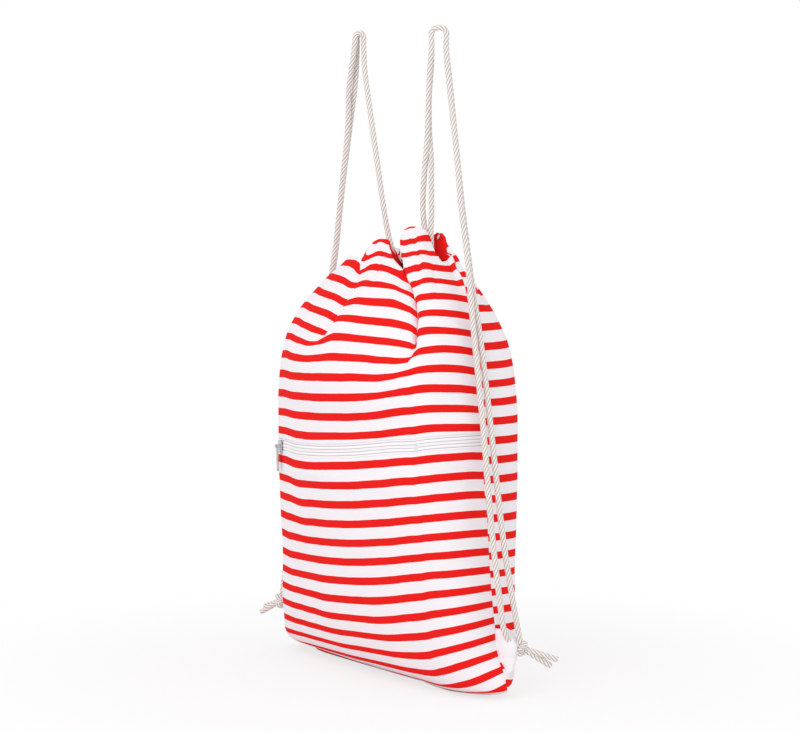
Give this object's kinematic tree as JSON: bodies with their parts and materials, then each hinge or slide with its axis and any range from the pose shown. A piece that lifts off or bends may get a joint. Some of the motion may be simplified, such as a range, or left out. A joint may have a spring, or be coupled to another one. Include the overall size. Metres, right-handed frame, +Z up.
{
  "type": "drawstring backpack",
  "caption": "Soft sack with a gathered drawstring mouth, cord straps to eyelet tabs at the bottom corners, and a zipped front pocket with sliding puller.",
  "frame": {"origin": "on the floor under the middle of the standing, filled bag", "axes": "+Z up towards the mouth, X across the bag's width with +X to the right seen from the front, the zipped front faces -Y"},
  "size_m": [0.373, 0.153, 0.5755],
  "materials": {
    "striped_cloth": "matte woven cotton, white with red stripes",
    "lining_cloth": "matte woven cotton",
    "zip_tape": "matte ribbed tape",
    "zip_teeth": "satin plastic coil",
    "zip_metal": "satin metal",
    "tab_cloth": "matte white webbing",
    "cord": "matte twisted cotton cord"
  },
  "bodies": {
    "bag": {"front_panel_lower": "striped_cloth", "front_panel_upper": "striped_cloth", "back_panel": "striped_cloth", "pocket_lining": "lining_cloth", "zip_tape_upper": "zip_tape", "zip_tape_lower": "zip_tape", "zip_coil_upper": "zip_teeth", "zip_coil_lower": "zip_teeth", "zip_end_stops": "zip_metal", "left_corner_tab": "tab_cloth", "right_corner_tab": "tab_cloth", "left_channel_cord": "cord", "right_channel_cord": "cord", "left_strand_front": "cord", "left_strand_back": "cord", "right_strand_front": "cord", "right_strand_back": "cord", "left_knot": "cord", "right_knot": "cord"},
    "slider": {"zip_slider": "zip_metal"},
    "pull": {"zip_pull": "zip_metal"}
  },
  "joints": [
    {"name": "zip_travel", "type": "hinge", "parent": "bag", "child": "slider", "pos_m": [0, 0.28615, 0.205], "axis": [-0.0767, 0, 0.9971], "range_deg": [0, 33.9]},
    {"name": "zip_pull_swing", "type": "hinge", "parent": "slider", "child": "pull", "pos_m": [-0.1049, -0.05897, 0.19693], "axis": [-0.9537, 0.2916, -0.0734], "range_deg": [0, 170]}
  ]
}
